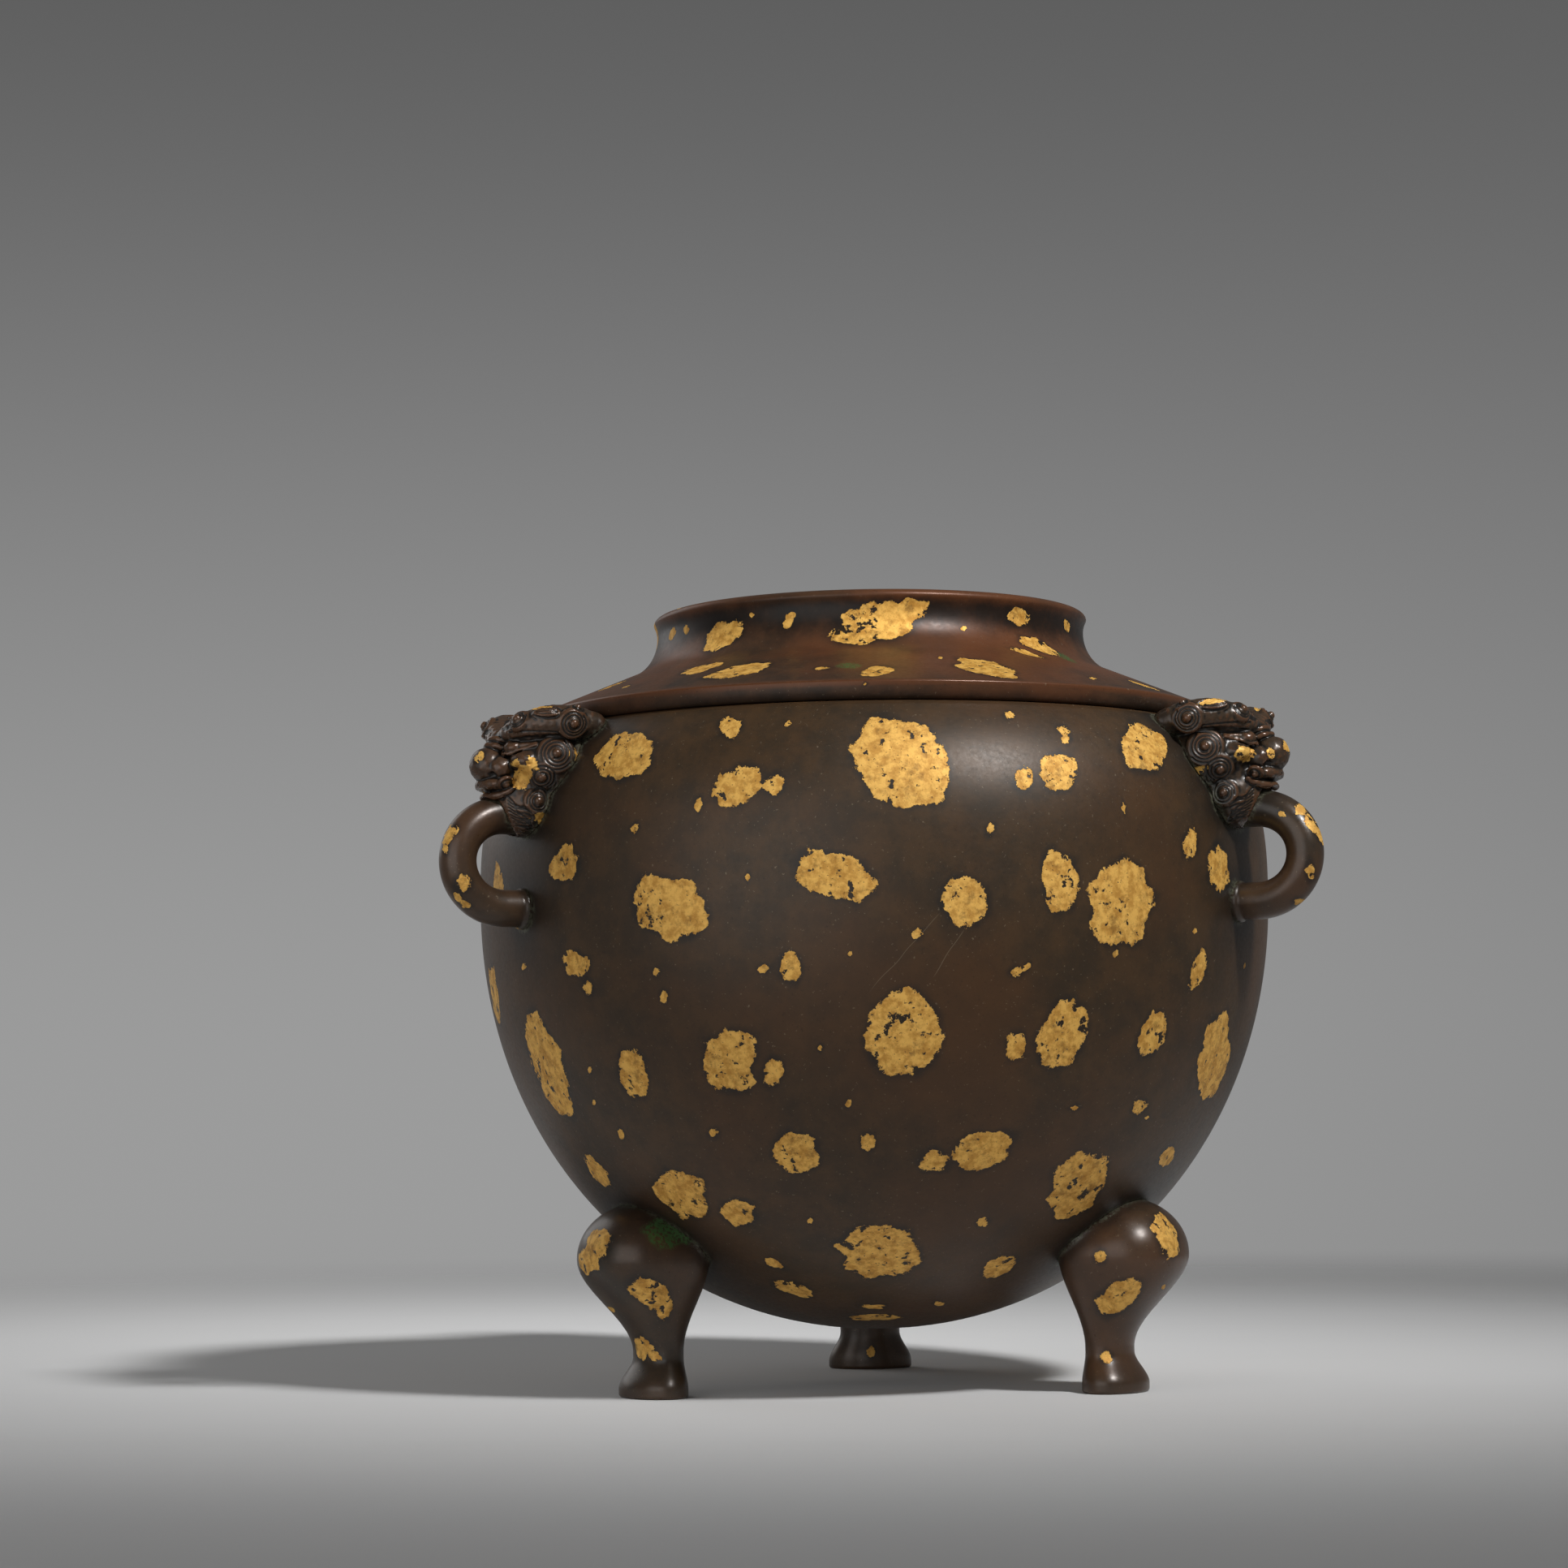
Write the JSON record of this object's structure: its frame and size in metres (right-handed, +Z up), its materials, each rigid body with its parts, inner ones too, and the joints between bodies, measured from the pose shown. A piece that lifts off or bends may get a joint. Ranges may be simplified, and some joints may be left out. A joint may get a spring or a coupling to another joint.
{
  "type": "tripod incense burner",
  "caption": "Globular bronze incense burner with flared lip, lion-mask loop handles and cabriole legs, dark patina splashed with gold; open at the top to hold ash and burning incense.",
  "frame": {"origin": "on the vessel's axis, in the plane of the three foot undersides", "axes": "+Z up along the vessel's axis; +Y towards the back station, where a leg, a mask and a loop stand in one plane; the picture looks along +Y with +X to the right"},
  "size_m": [0.2238, 0.2338, 0.2053],
  "materials": {
    "globe_bronze": "satin dark brown patina with ragged gold splashes",
    "collar_bronze": "satin reddish brown patina with gold splashes",
    "cast_bronze": "satin dark brown patina, worn on the high points, with gold splashes",
    "pin_bronze": "dull hammered bronze"
  },
  "bodies": {
    "root": {"vessel_body": "globe_bronze", "shoulder_collar": "collar_bronze", "leg_1": "cast_bronze", "leg_2": "cast_bronze", "leg_3": "cast_bronze", "mask_1": "cast_bronze", "mask_2": "cast_bronze", "mask_3": "cast_bronze", "loop_1": "cast_bronze", "loop_2": "cast_bronze", "loop_3": "cast_bronze", "leg_pin_1": "pin_bronze", "leg_pin_2": "pin_bronze", "leg_pin_3": "pin_bronze", "mask_pin_1": "pin_bronze", "mask_pin_2": "pin_bronze", "mask_pin_3": "pin_bronze", "loop_pin_1": "pin_bronze", "loop_pin_2": "pin_bronze", "loop_pin_3": "pin_bronze"}
  },
  "joints": []
}
